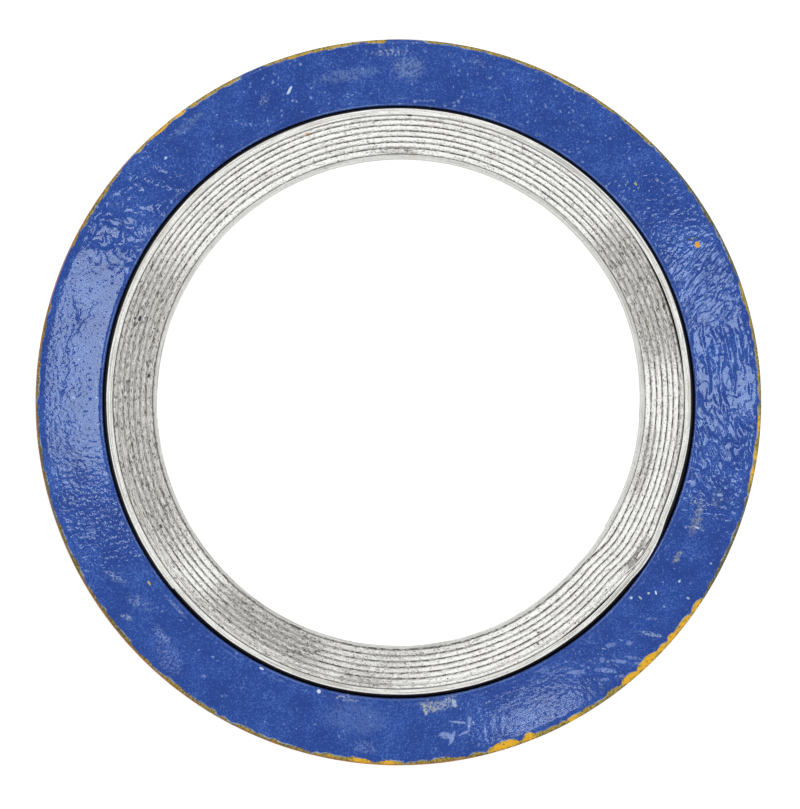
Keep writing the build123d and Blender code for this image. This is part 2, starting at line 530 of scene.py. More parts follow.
@dataclass(frozen=True)
class BlueCoating:
    """Thick glossy blue enamel over a yellow primer, with orange peel, creases, scuffs and chips, and with
    painted glints, reflections, highlights and shade.
    """

    enamel: Colour = (0.0075, 0.060, 0.330, 1.0)
    deep_enamel: Colour = (0.0030, 0.040, 0.255, 1.0)
    # Pale flecks, painted glints of the orange peel.
    peel_glint: Colour = paint(92, 130, 204)
    # Pale specks: dust, with painted glints of the orange peel among them.
    dust_and_glint: Colour = paint(158, 182, 224)
    primer: Colour = paint(234, 176, 30)
    dirty_primer: Colour = paint(196, 158, 56)
    old_primer: Colour = paint(160, 144, 54)
    grime: Colour = paint(62, 64, 44)
    # Brown-orange painted shade on the rim's edge round 210 degrees.
    edge_shade: Colour = paint(184, 110, 28)
    # Pale blue-grey of the painted highlight on the enamel's worn edge.
    worn_edge_highlight: Colour = paint(168, 186, 208)
    # Near-black painted shade for the bore's throat and its lip.
    throat_shade: Colour = paint(13, 12, 22)
    # Pale blue of the painted highlight lines on the bore's lip.
    lip_highlight: Colour = paint(122, 146, 200)
    roughness: float = 0.045
    bare_roughness: float = 0.6
    throat_roughness: float = 0.8
    bore_radius: float = RING_BORE
    rim_radius: float = RING_RIM
    lip_highlight_line: float = 0.22
    outer_lip_highlight_line: float = 1.25
    relief_depth: float = 0.05
    film_depth: float = 0.0015
    # Where the pale specks, dust and painted glints, are thick.
    dust_with_painted_light: Arc = Arc(88.0, 46.0, 50.0)
    grained: Arc = Arc(34.0, 16.0, 20.0)
    crinkled: Arc = Arc(147.0, 10.0, 14.0)
    pitted: Arc = Arc(199.0, 9.0, 12.0)
    calm: Arc = Arc(173.0, 19.0, 10.0)
    brushed: Arc = Arc(294.5, 8.5, 6.0)
    level_film: Arc = Arc(294.5, 9.0, 4.0)
    spots: tuple[Spot, ...] = (
        # Specks and scratches.
        Spot(109.4, 67.9, 2.0, 0.55, paint(198, 216, 234), 0.9, 42.0),
        Spot(133.8, 69.3, 0.75, 0.5, paint(184, 204, 232), 0.85),
        Spot(242.7, 61.6, 1.2, 0.4, paint(200, 214, 230)),
        Spot(254.5, 61.7, 0.85, 0.7, paint(212, 222, 232)),
        Spot(29.1, 69.1, 2.5, 0.45, paint(60, 68, 64), 0.85, 78.0),
        Spot(42.7, 66.2, 0.7, 0.45, paint(176, 166, 90)),
        Spot(216.0, 63.4, 1.1, 0.42, paint(196, 166, 66)),
        Spot(319.8, 62.4, 0.6, 0.5, paint(186, 206, 226)),
        Spot(323.4, 65.7, 0.9, 0.4, paint(196, 214, 234), 1.0, 50.0),
        Spot(327.4, 68.4, 0.6, 0.45, paint(182, 202, 230)),
        Spot(341.4, 64.2, 0.7, 0.4, paint(170, 170, 140)),
        Spot(337.1, 66.4, 0.4, 1.3, paint(190, 205, 225), 0.9),
        # Broad scuffs on the +Y side.
        Spot(88.4, 68.7, 6.0, 4.4, paint(132, 156, 196), 0.55, 0.0, 0.5),
        Spot(91.5, 71.9, 6.5, 1.4, paint(170, 186, 206), 0.7, 0.0, 0.8),
        Spot(99.0, 68.0, 12.0, 2.4, paint(120, 146, 194), 0.45, 0.0, 0.5),
        Spot(114.0, 68.0, 3.2, 1.6, paint(150, 172, 212), 0.7, 30.0, 0.8),
        Spot(77.0, 71.4, 3.4, 1.8, paint(130, 156, 204), 0.7, 0.0, 0.8),
        Spot(127.5, 71.6, 8.0, 1.6, paint(116, 142, 184), 0.5, 0.0, 0.6),
        # Scuffs on the -X side.
        Spot(203.0, 68.8, 2.0, 2.4, paint(150, 172, 216), 0.7, 0.0, 0.7),
        Spot(211.8, 68.3, 4.2, 1.6, paint(150, 172, 214), 0.75, 35.0, 0.7),
        Spot(217.6, 67.4, 5.0, 2.0, paint(140, 162, 206), 0.65, 30.0, 0.7),
        Spot(218.3, 71.3, 2.4, 0.9, paint(160, 176, 204), 0.7, 30.0, 0.5),
        Spot(222.5, 62.2, 5.0, 0.7, paint(150, 170, 208), 0.8, 0.0, 0.6),
        Spot(228.0, 70.6, 6.6, 3.6, paint(134, 150, 204), 0.6, -18.0, 0.7),
        Spot(224.5, 68.4, 4.0, 2.0, paint(140, 162, 214), 0.6, 0.0, 0.7),
        # Scuffs and a dusty smear on the -Y side.
        Spot(262.0, 65.5, 12.0, 6.0, paint(96, 122, 182), 0.40, 0.0, 0.4),
        Spot(259.8, 61.9, 4.6, 0.8, paint(170, 180, 196), 0.75, 0.0, 0.7),
        Spot(264.0, 71.2, 5.0, 2.4, paint(120, 144, 198), 0.55, 0.0, 0.7),
        Spot(278.6, 62.7, 4.8, 2.0, paint(150, 166, 196), 0.85, 18.0, 0.45),
        Spot(280.2, 62.8, 1.2, 2.0, paint(180, 192, 208), 0.8, 30.0, 0.3),
        Spot(275.6, 63.0, 3.6, 2.0, paint(146, 160, 180), 0.8, -20.0, 0.45),
        Spot(274.8, 63.6, 0.8, 1.8, paint(180, 190, 190), 0.8, 10.0, 0.3),
        Spot(276.6, 62.6, 4.0, 1.4, paint(204, 190, 120), 0.7, 0.0, 0.9),
        # Pale streaks on both sides of the brushed stretch, painted reflections of the front lamp in the
        # orange peel.
        Spot(278.9, 69.9, 3.0, 0.8, paint(138, 160, 210), 0.8, 58.0, 0.2),
        Spot(278.0, 69.2, 2.6, 1.3, paint(138, 160, 210), 0.8, -14.0, 0.3),
        Spot(281.0, 69.3, 2.6, 0.5, paint(134, 156, 206), 0.75, 12.0, 0.2),
        Spot(282.3, 67.4, 2.2, 0.9, paint(134, 156, 206), 0.7, 76.0, 0.3),
        Spot(280.5, 66.9, 3.0, 0.5, paint(144, 166, 212), 0.75, -16.0, 0.2),
        Spot(312.4, 71.2, 3.2, 0.6, paint(116, 140, 198), 0.75, -52.0, 0.35),
        Spot(310.4, 70.0, 3.6, 0.7, paint(120, 144, 202), 0.8, -48.0, 0.35),
        Spot(307.6, 69.6, 4.4, 0.9, paint(124, 148, 204), 0.8, -42.0, 0.35),
        Spot(306.4, 70.9, 2.2, 0.6, paint(116, 140, 198), 0.7, -30.0, 0.35),
        Spot(311.0, 66.2, 2.6, 0.9, paint(116, 140, 198), 0.7, -24.0, 0.4),
        Spot(303.4, 66.4, 3.2, 0.8, paint(116, 140, 198), 0.7, -30.0, 0.35),
        Spot(300.0, 64.0, 4.0, 0.8, paint(104, 130, 192), 0.6, -10.0, 0.6),
        Spot(313.6, 68.4, 1.4, 0.9, paint(116, 140, 198), 0.75, -40.0, 0.3),
        Spot(308.2, 67.4, 1.2, 1.1, paint(110, 136, 196), 0.75, 0.0, 0.3),
        Spot(309.0, 72.6, 1.6, 0.7, paint(116, 140, 198), 0.7, -40.0, 0.3),
        Spot(312.2, 72.6, 1.0, 0.7, paint(116, 140, 198), 0.7, -40.0, 0.3),
        Spot(299.0, 62.8, 5.0, 0.8, paint(110, 134, 190), 0.65, -6.0, 0.6),
        Spot(288.0, 68.9, 4.2, 0.6, paint(112, 138, 198), 0.7, 72.0, 0.3),
        Spot(286.6, 68.2, 3.4, 0.6, paint(112, 138, 198), 0.7, 66.0, 0.3),
        Spot(284.6, 70.2, 2.8, 0.5, paint(116, 140, 200), 0.7, 80.0, 0.3),
        # Rubbed patches and small dabs between 317 and 344 degrees.
        Spot(338.5, 65.8, 6.6, 1.7, paint(146, 152, 152), 0.75, 0.0, 0.6),
        Spot(337.4, 67.2, 2.6, 1.0, paint(120, 140, 176), 0.7, 60.0, 0.6),
        Spot(330.8, 65.5, 2.8, 1.2, paint(156, 162, 160), 0.75, 0.0, 0.6),
        Spot(317.2, 70.2, 4.6, 0.8, paint(150, 170, 208), 0.8, -58.0, 0.5),
        Spot(319.4, 68.4, 2.4, 0.5, paint(120, 146, 200), 0.7, -50.0, 0.5),
        Spot(343.5, 68.3, 4.0, 2.0, paint(120, 136, 130), 0.5, 0.0, 0.8),
        Spot(322.3, 68.8, 0.4, 0.5, paint(150, 174, 216), 0.8),
        Spot(332.6, 72.2, 0.4, 0.5, paint(160, 184, 218), 0.9),
        Spot(325.8, 71.8, 0.5, 0.7, paint(160, 182, 214), 0.8),
        Spot(320.9, 63.8, 0.4, 0.9, paint(170, 190, 200), 0.8),
        Spot(322.5, 64.6, 0.5, 0.5, paint(200, 210, 190), 0.8),
    )
    flake: Spot = Spot(27.8, 69.4, 1.35, 0.95, paint(228, 160, 24), 1.0, -6.0)
    creases: tuple[Crease, ...] = (
        Crease(177.5, 68.6, 8.4, -8.0),
        Crease(170.4, 68.8, 11.5, 2.0),
        Crease(164.3, 69.0, 6.4, 25.0),
        Crease(165.6, 66.8, 10.0, -21.0),
        Crease(165.0, 67.9, 3.4, 4.0),
        Crease(186.3, 68.5, 7.4, 3.0),
        Crease(183.8, 67.4, 2.2, 80.0),
        Crease(187.0, 63.6, 1.6, 70.0),
        Crease(17.0, 69.6, 8.0, 22.0),
    )
    ripples: tuple[Ripples, ...] = (
        Ripples(Arc(19.0, 8.0, 10.0), 50.0, 2.4, 0.85, 0.95),
        Ripples(Arc(5.0, 9.0, 7.0), None, 7.0, 2.1, 2.6),
        Ripples(Arc(350.0, 7.0, 9.0), -70.0, 2.8, 1.25, 1.6),
    )

    def material(self) -> bpy.types.Material:
        """The coating as a material.

        Returns:
            A material that reads the ring's bare, grime and rust attributes.
        """
        s = Surface("blue_coating")
        colour = s.spotted(self._enamel(s), self.spots)
        colour, bare = self._wear(s, colour)
        flaked = s.rise(s.reach(self.flake, s.place) + s.ragged * 0.2, 1.08, 0.92)
        colour = s.tint(flaked, colour, self.flake.colour)
        colour, throat_shade = self._lip(s, colour)
        rough = s.blend(s.larger(bare, flaked), self.roughness, self.bare_roughness)
        rough = s.blend(throat_shade, rough, self.throat_roughness)
        film = s.noise(s.place, 3.4, 2.0) * (1.0 - s.within(self.level_film) * 0.6)
        normal = s.bump(film, self.film_depth, s.bump(self._relief(s), self.relief_depth))
        return s.finish(Base_Color=colour, Roughness=rough, IOR=1.5, Specular_IOR_Level=0.3, Normal=normal)

    def _enamel(self, s: Surface) -> Wire:
        """The blue, cloudy and flecked with painted glints of the orange peel, with the dust and painted
        glints that lie on it.

        Args:
            s: The material's tree.

        Returns:
            The enamel's colour.
        """
        # The blue goes from light to deep in clouds, with fine pale flecks, which are painted glints of the
        # orange peel, and dark grains in it.
        cloud = s.noise(s.place, 0.16, 4.0, 0.6)
        tone = s.rise(cloud * 0.6 + s.grit * 0.4, 0.36, 0.62)
        colour = s.tint(tone, self.deep_enamel, self.enamel)
        speck = s.noise(s.place, 3.1, 2.0, 0.7)
        colour = s.tint(s.rise(speck + (cloud - 0.5) * 0.3, 0.51, 0.70) * 0.55, colour, self.peel_glint)
        colour = s.tint(s.rise(speck, 0.47, 0.32) * 0.9, colour, self.deep_enamel)
        return s.tint(self._dust_and_glints(s), colour, self.dust_and_glint)

    def _dust_and_glints(self, s: Surface) -> Wire:
        """Pale specks and dashes, thick on the +Y side and thin elsewhere: dust, with painted glints of the
        orange peel among the thick ones.

        Args:
            s: The material's tree.

        Returns:
            How much of the specks covers each place.
        """
        cells_per_mm = 1.05
        where = s.jittered(2.2, 1.1)
        off_centre = s.cells(where, cells_per_mm)
        pick, big, bright = s.split(s.cells(where, cells_per_mm, out="Color"))
        flock = s.noise(s.place, 0.22, 2.0)
        many = s.within(self.dust_with_painted_light) * 0.34 + (flock - 0.5) * 1.1
        shown = s.rise(pick + many, 0.86, 0.96)
        return s.rise(off_centre / (0.6 + big * 0.9), 0.28, 0.12) * shown * (0.15 + bright * 0.6)

    def _relief(self, s: Surface) -> Wire:
        """The orange peel: rippled on the +X side, as the brush left it, and calm on the -X side.

        Args:
            s: The material's tree.

        Returns:
            Its height, where 1 is the relief's full depth.
        """
        # Each stretch has its own shape and strength, with soft edges between them.
        worms = s.noise(s.place, 0.38, 1.5, 0.45, 0.5)
        shape = s.noise(s.place, 1.15, 1.0, 0.5, 0.3)
        strength = s.blend(s.within(self.grained), 0.25, 0.42)
        for ripples in self.ripples:
            here = s.within(ripples.arc)
            shape = s.blend(here, shape, ripples.shape(s))
            strength = s.blend(here, strength, ripples.strength)
        crinkled, pitted, calm, brushed = (
            s.within(arc) for arc in (self.crinkled, self.pitted, self.calm, self.brushed)
        )
        shape = s.blend(crinkled, shape, worms)
        for here, full in ((crinkled, 1.6), (pitted, 0.7), (calm, 0.22), (brushed, 0.12)):
            strength = s.blend(here, strength, full)

        # Brush marks, pits, pinholes and creases lie on top of it.
        height = ((shape - 0.5) + (worms - 0.5) * 0.5) * strength
        height = height + brushed * (s.streaks(5.0, 0.45, 2.0) - 0.5) * 0.06
        height = height - s.dots(0.9, 0.32, 0.0, 0.80, 0.84) * 0.25
        height = height - s.dots(1.7, 0.34, 0.0, 0.72, 0.78) * calm * 0.14
        bent = s.jittered(0.55, 3.0)
        for crease in self.creases:
            height = height - s.rise(s.reach(crease, bent), 1.0, 0.2) * 0.5
        return height

    def _wear(self, s: Surface, colour: Wire) -> tuple[Wire, Wire]:
        """Lays the worn rim, its chips and the painted shade on the rim's edge over the enamel.

        Args:
            s: The material's tree.
            colour: The enamel's colour.

        Returns:
            The colour with the wear, and the share that is bare of enamel or painted with the edge's shade.
        """
        # The mesh says how far within the bare rim a point is; grain makes its line ragged.
        blotch = s.noise(s.place, 1.5, 3.0, 0.65)
        grimy = s.attribute("grime")
        inwards = s.attribute("bare")
        ragged = (s.grit - 0.5) * 0.8 + (s.noise(s.place, 3.3, 2.0, 0.6) - 0.5) * grimy * 1.3
        bare = s.rise(inwards + ragged + 0.08, -0.06, 0.06)
        # The rim's upright side flakes in its own pattern.
        side = s.rise(abs(s.z), 0.90, 0.78) * s.rise(s.radius, self.rim_radius - 0.36, self.rim_radius - 0.16)
        flake = s.noise(s.place, 0.42, 4.0, 0.7)
        bare = s.blend(side, bare, s.rise(flake, 0.50, 0.54))
        # The primer is fresh in new chips, old and dirty on the rim, and painted darker on the rim's steep
        # outermost part as painted shade.
        outermost_shade = s.rise(s.radius, self.rim_radius - 0.51, self.rim_radius - 0.16)
        fresh = s.tint(s.rise(grimy + (blotch - 0.5) * 0.8, 0.20, 0.55), self.primer, self.dirty_primer)
        primer = s.tint(s.rise(blotch - grimy * 0.20 - outermost_shade * 0.07, 0.34, 0.46), self.old_primer, fresh)
        dirt = s.rise(s.grit + (grimy * 0.20 + outermost_shade * 0.08) * (1.0 - side * 0.7), 0.60, 0.72)
        worn = s.tint(dirt * 0.9, primer, self.grime)
        # A pale line, painted highlight on the worn edge of the enamel, borders it, and brown-orange painted
        # shade lies on the rim's edge round 210 degrees.
        fringe = s.rise(inwards + (s.grit - 0.5) * 0.3, -0.36, -0.10) * (1.0 - side)
        fringe = fringe * s.rise(s.streaks(2.6, 1.2, 3.0, 0.6), 0.45, 0.57)
        colour = s.tint(fringe * 0.75, colour, self.worn_edge_highlight)
        colour = s.tint(bare, colour, worn)
        # Brown-orange painted shade lies on the rim's edge round 210 degrees, on the flaking side too.
        edge_shade_spread = s.blend(side, 1.0, s.rise(flake, 0.46, 0.54))
        edge_shade = s.attribute("edge_shade") * s.rise(s.grit, 0.30, 0.46) * edge_shade_spread
        colour = s.tint(edge_shade * 0.85, colour, self.edge_shade)
        return colour, s.larger(bare, edge_shade)

    def _lip(self, s: Surface, colour: Wire) -> tuple[Wire, Wire]:
        """Lays two painted highlight lines on the bore's lip, darkens the lip with painted shade, and paints
        its throat near-black as painted shade.

        Args:
            s: The material's tree.
            colour: The coating's colour.

        Returns:
            The colour with the lip, and the share that is in the throat.
        """
        height = abs(s.z)
        on_face = s.rise(height, 1.25, 1.38)
        # Two pale lines on the lip are painted highlights of its rounded edge.
        line = s.rise(abs(s.radius - (self.bore_radius + self.lip_highlight_line)), 0.15, 0.04)
        line = line * s.rise(s.streaks(7.0, 2.0, 3.0), 0.36, 0.62) * s.rise(s.grit, 0.3, 0.5)
        colour = s.tint(line * on_face * 0.70, colour, self.lip_highlight)
        smear = s.rise(abs(s.radius - (self.bore_radius + self.outer_lip_highlight_line)), 0.45, 0.15)
        smear = smear * s.rise(s.streaks(1.6, 0.6, 3.0, 0.7), 0.52, 0.68)
        colour = s.tint(smear * on_face * 0.5, colour, self.lip_highlight)
        # Painted shade darkens the lip towards the bore.
        shade = s.rise(s.radius, self.bore_radius + 0.30, self.bore_radius - 0.15)
        colour = s.tint(shade * 0.5, colour, self.throat_shade)
        # The throat is painted near-black, as painted shade in the gap between the ring and the winding.
        throat_shade = s.rise(height, 1.16, 1.04) * s.rise(s.radius, self.bore_radius + 1.0, self.bore_radius + 0.8)
        return s.tint(throat_shade, colour, self.throat_shade), throat_shade


@dataclass(frozen=True)
class DullArc:
    """A stretch of the winding that is greyer than the rest.

    Args:
        centre: Its middle angle.
        half: Half its width.
        inner: Where it begins, out from the axis.
        outer: Where it ends, out from the axis.
        share: How much of the shine it takes away.
    """

    centre: float
    half: float
    inner: float
    outer: float
    share: float


@dataclass(frozen=True)
class Dullness:
    """Where graphite dust has dulled the winding's face, filler and strip alike."""

    arcs: tuple[DullArc, ...] = (
        DullArc(181.0, 32.0, 50.0, 60.0, 1.0),
        DullArc(240.0, 14.0, 50.0, 57.4, 1.0),
        DullArc(238.0, 18.0, 57.0, 60.0, 0.7),
        DullArc(216.0, 8.0, 57.0, 60.0, 0.5),
        DullArc(262.0, 12.0, 50.0, 60.0, 0.45),
        DullArc(24.0, 15.0, 51.0, 60.0, 1.0),
        DullArc(346.0, 8.0, 50.8, 53.4, 0.6),
        DullArc(255.0, 30.0, 50.8, 52.4, 0.6),
        DullArc(263.0, 6.0, 56.0, 59.2, 0.7),
        DullArc(5.0, 28.0, 57.6, 59.3, 0.6),
        DullArc(90.0, 4.0, 50.8, 52.4, 0.8),
        DullArc(327.0, 4.0, 57.2, 59.4, 0.8),
    )

    def share(self, s: Surface) -> Wire:
        """How dull each place is, with uneven edges.

        Args:
            s: The material's tree.

        Returns:
            The dullness, 0 to 1.
        """
        wash = s.streaks(11.0, 1.3, 3.0, 0.6)
        dull = s.rise(wash, 0.50, 0.72) * 0.4
        for arc in self.arcs:
            begins = s.rise(s.radius, arc.inner - 0.2, arc.inner + 0.3)
            ends = s.rise(s.radius, arc.outer + 0.3, arc.outer - 0.2)
            band = begins * ends * s.arc(s.outwards, arc.centre, arc.half, arc.half * 0.6)
            dull = s.larger(dull, band * (0.70 + wash * 0.6) * arc.share)
        return s.smaller(dull, 1.0)


@dataclass(frozen=True)
class StripSteel:
    """Stainless strip: pale rolled edges, dark where the filler lies beside them, from dust and painted shade
    of the recessed edge, and flanks painted near-black towards the ring as painted shade.
    """

    edge: Colour = paint(255, 255, 251)
    warm_edge: Colour = paint(240, 236, 224)
    inner_edge: Colour = paint(224, 224, 220)
    tarnish: Colour = paint(112, 104, 90)
    flank: Colour = paint(206, 205, 200)
    # Dark edge where filler lies beside it: dust, and painted shade of the recessed edge.
    dust_and_shade: Colour = paint(74, 69, 68)
    smear: Colour = paint(200, 198, 193)
    # Near-black painted shade for the strip's flanks in the gap between the winding and the ring.
    throat_shade: Colour = paint(9, 8, 8)
    half_width: float = STRIP_HALF_WIDTH
    grain_depth: float = 0.006
    first_buried_ply: float = 3.55
    last_buried_ply: float = 9.6
    open_seam_ply: float = 13.7
    dullness: Dullness = Dullness()

    def material(self) -> bpy.types.Material:
        """The strip as a material.

        Returns:
            A material that reads the strip's ply and across attributes.
        """
        s = Surface("strip_steel")
        ply = s.attribute("ply")
        streak = s.streaks(5.0, 0.16, 3.0, 0.6)
        # Edges with filler beside them are dark with dust and painted shade of the recess, broken by pale
        # smears.
        dust_and_shade = s.rise(ply, self.first_buried_ply - 0.1, self.first_buried_ply + 0.1)
        dust_and_shade = dust_and_shade * s.rise(ply, self.last_buried_ply + 0.1, self.last_buried_ply - 0.1)
        smeared = s.streaks(1.1, 0.6, 3.0, 0.75) + (streak - 0.5) * 0.35 + self.dullness.share(s) * 0.11
        dust_with_painted_light = s.tint(s.rise(smeared, 0.47, 0.60), self.dust_and_shade, self.smear)
        top = s.tint(dust_and_shade, self._bare_edge(s, ply, streak), dust_with_painted_light)
        # The flanks out towards the ring are painted near-black and not metallic, as painted shade in the
        # gap.
        outside = s.rise(s.radius, 58.0, 59.5)
        edge = s.rise(abs(s.z), self.half_width - 0.16, self.half_width - 0.04)
        colour = s.tint(edge, s.tint(outside, self.flank, self.throat_shade), top)
        metal = s.blend(edge, s.blend(outside, 0.85, 0.0), 0.2)
        rough = s.blend(s.rise(s.grit, 0.3, 0.7), 0.35, 0.55)
        normal = s.bump(s.streaks(4.0, 0.09, 2.0), self.grain_depth)
        return s.finish(Base_Color=colour, Metallic=metal, Roughness=rough, Normal=normal)

    def _bare_edge(self, s: Surface, ply: Wire, streak: Wire) -> Wire:
        """The rolled edge of a ply that has no filler beside it.

        Args:
            s: The material's tree.
            ply: Which turn of the strip a place is on.
            streak: Fine streaks along the turns.

        Returns:
            The edge's colour, with tarnish in the seams between the plies.
        """
        across = s.attribute("across")
        colour = s.tint(s.rise(streak, 0.48, 0.70), self.edge, self.warm_edge)
        colour = s.tint(s.rise(ply, 3.7, 3.3) * 0.85, colour, self.inner_edge)
        colour = s.tint(s.rise(s.grit, 0.54, 0.70) * 0.40, colour, self.tarnish)
        dim_ply = s.noise(s.point(s.outwards, 2.2, s.math("FLOOR", ply) * 3.7), 1.0, 3.0)
        colour = s.tint(s.rise(dim_ply, 0.54, 0.62) * 0.35, colour, self.tarnish)
        # The seams between plies are darker, and most of all one that stands open.
        seam = s.rise(abs(across - 0.5), 0.34, 0.5) * s.rise(streak, 0.40, 0.56)
        open_seam = s.rise(abs(ply - (self.open_seam_ply + 0.5)), 0.52, 0.48) * s.rise(across, 0.55, 0.15)
        seam = s.larger(seam * 0.85, open_seam * s.rise(streak, 0.30, 0.50) * 0.9)
        return s.tint(seam, colour, self.tarnish)


@dataclass(frozen=True)
class GraphiteFace:
    """Filler tape, burnished pale on its crests, grey on the low inner side of each turn as painted shade,
    and dusty grey where graphite dust dulls it.
    """

    burnished: Colour = paint(253, 252, 248)
    # Grey for dull stretches, and for painted shade on each turn's low inner side.
    dull: Colour = paint(173, 170, 165)
    dark: Colour = paint(84, 79, 75)
    smudge: Colour = paint(158, 154, 150)
    pit: Colour = paint(48, 44, 44)
    tan: Colour = paint(176, 158, 124)
    dullness: Dullness = Dullness()
    half_width: float = STRIP_HALF_WIDTH
    grain_depth: float = 0.03
    first_turn_end: float = 4.0
    last_turn_start: float = 9.0
    gaps: tuple[Arc, ...] = (Arc(88.0, 46.0, 12.0), Arc(285.0, 15.0, 8.0))
    spots: tuple[Spot, ...] = (
        # Pits and specks.
        Spot(88.0, 58.9, 1.2, 0.5, paint(26, 24, 24)),
        Spot(109.0, 58.1, 0.8, 0.5, paint(206, 158, 92)),
        Spot(162.3, 55.9, 1.2, 0.6, paint(58, 50, 62)),
        Spot(163.8, 56.3, 1.4, 0.4, paint(84, 78, 74), 0.9, -20.0),
        Spot(162.6, 56.9, 0.6, 0.4, paint(80, 76, 74)),
        Spot(19.5, 57.7, 1.1, 0.3, paint(70, 66, 66)),
        Spot(35.5, 55.7, 1.2, 0.4, paint(90, 84, 88), 1.0, -30.0),
        Spot(33.6, 55.1, 0.9, 0.4, paint(100, 96, 96)),
        Spot(174.2, 51.7, 0.8, 0.6, paint(74, 62, 54)),
        Spot(176.4, 55.8, 2.4, 0.8, paint(104, 104, 106), 0.8, 0.0, 0.5),
        Spot(207.6, 55.2, 0.8, 0.6, paint(84, 82, 82)),
        Spot(299.8, 57.2, 0.6, 0.6, paint(120, 124, 104)),
        Spot(301.0, 55.3, 0.6, 0.4, paint(96, 90, 92)),
        Spot(231.4, 59.0, 0.9, 0.6, paint(96, 92, 90), 0.9, 0.0, 0.3),
        # Smudges.
        Spot(262.5, 57.9, 9.0, 1.9, paint(140, 138, 132), 0.85, 0.0, 0.7),
        Spot(240.5, 54.2, 11.0, 4.2, paint(104, 102, 103), 0.8, 0.0, 0.8),
        Spot(248.0, 53.4, 6.0, 2.4, paint(116, 114, 114), 0.7, 0.0, 0.8),
        Spot(232.5, 53.0, 7.0, 2.2, paint(128, 126, 124), 0.7, 0.0, 0.8),
        Spot(268.0, 53.2, 5.0, 3.0, paint(120, 118, 116), 0.6, 0.0, 0.8),
        Spot(95.8, 51.7, 4.4, 1.0, paint(138, 136, 142), 0.7, 0.0, 0.7),
        Spot(77.0, 51.9, 5.0, 1.0, paint(140, 138, 142), 0.7, -14.0, 0.8),
        Spot(55.0, 51.9, 6.0, 1.2, paint(150, 148, 154), 0.7, 0.0, 0.8),
        Spot(69.0, 59.0, 9.0, 0.8, paint(150, 148, 152), 0.7, -4.0, 0.8),
        Spot(64.0, 57.9, 0.9, 1.0, paint(150, 146, 148), 0.8, 0.0, 0.4),
        # The lump and the bright patch where the outer turns step out, with a painted shadow on the lump's
        # inner side (325 degrees) and painted shade in the slackened gap (313 and 331 degrees).
        Spot(328.0, 58.9, 6.0, 1.0, paint(150, 146, 142), 0.85, -4.0, 0.4),
        Spot(327.7, 58.45, 3.0, 0.80, paint(88, 84, 82), 0.85, -3.0),
        Spot(327.7, 58.52, 2.2, 0.42, paint(240, 239, 235), 1.0, -3.0),
        Spot(330.8, 58.7, 2.6, 0.25, paint(60, 56, 56), 0.95, -5.0),
        Spot(325.1, 58.4, 2.0, 1.7, paint(150, 147, 144), 0.95, 0.0, 0.15),
        Spot(325.0, 57.5, 1.5, 0.25, paint(92, 88, 86), 0.85, 8.0),
        Spot(326.3, 58.4, 0.25, 1.4, paint(104, 100, 98), 0.8),
        Spot(313.0, 58.95, 8.5, 0.55, paint(58, 55, 55), 0.95, 0.0, 0.35),
        Spot(319.5, 59.0, 5.0, 0.7, paint(140, 137, 132), 0.7, -3.0, 0.6),
        Spot(313.8, 58.5, 3.4, 1.0, paint(140, 140, 134), 0.7, 0.0, 0.6),
        # Smudges on the +X side, and pale dabs.
        Spot(350.0, 51.7, 16.0, 0.9, paint(112, 106, 110), 0.7, 0.0, 0.7),
        Spot(341.6, 51.5, 7.0, 0.8, paint(120, 116, 116), 0.7, 0.0, 0.7),
        Spot(344.0, 58.0, 8.0, 1.6, paint(166, 162, 160), 0.6, 0.0, 0.7),
        Spot(184.0, 52.0, 1.8, 2.2, paint(206, 204, 198), 0.8, 0.0, 0.3),
        Spot(24.0, 51.9, 1.2, 1.4, paint(228, 226, 222), 0.8, 30.0, 0.3),
        Spot(246.0, 57.6, 2.2, 0.3, paint(216, 214, 210), 0.8, 60.0),
    )

    def material(self) -> bpy.types.Material:
        """The filler as a material.

        Returns:
            A material that reads the filler's ply and across attributes.
        """
        s = Surface("graphite")
        dull = self.dullness.share(s)
        grain = s.streaks(0.50, 0.26, 1.0, 0.7)
        coarse = s.streaks(2.4, 1.0, 3.0, 0.65)
        colour = self._crests(s, dull, grain, coarse)
        # Dark lines at the turns' edges: dirt at the joint, and painted shade of the recess.
        colour = s.tint(self._turn_lines(s, dull) * s.blend(dull, 0.75, 0.80), colour, self.dark)
        tan = s.rise(s.streaks(5.0, 0.5, 3.0), 0.56, 0.70)
        colour = s.tint(tan * s.blend(dull, 0.10, 0.25), colour, self.tan)
        colour = s.tint(s.dots(0.8, 0.16, 0.07, 0.86, 0.9), colour, self.pit)
        colour = s.spotted(colour, self.spots)
        inside = s.rise(abs(s.z), self.half_width - 0.02, self.half_width - 0.12)
        colour = s.tint(inside, colour, self.pit)
        rough = s.blend(dull, 0.42, 0.7)
        normal = s.bump(grain, self.grain_depth)
        return s.finish(Base_Color=colour, Roughness=rough, Normal=normal, Specular_IOR_Level=0.35)

    def _crests(self, s: Surface, dull: Wire, grain: Wire, coarse: Wire) -> Wire:
        """The burnished crests, with painted shade on each turn's low inner side, their smudges and their
        speckle.

        Args:
            s: The material's tree.
            dull: How dull each place is.
            grain: The face's finest grain.
            coarse: Its broad patches.

        Returns:
            The face's colour.
        """
        streak = s.streaks(3.6, 0.22, 2.0, 0.6) - 0.5
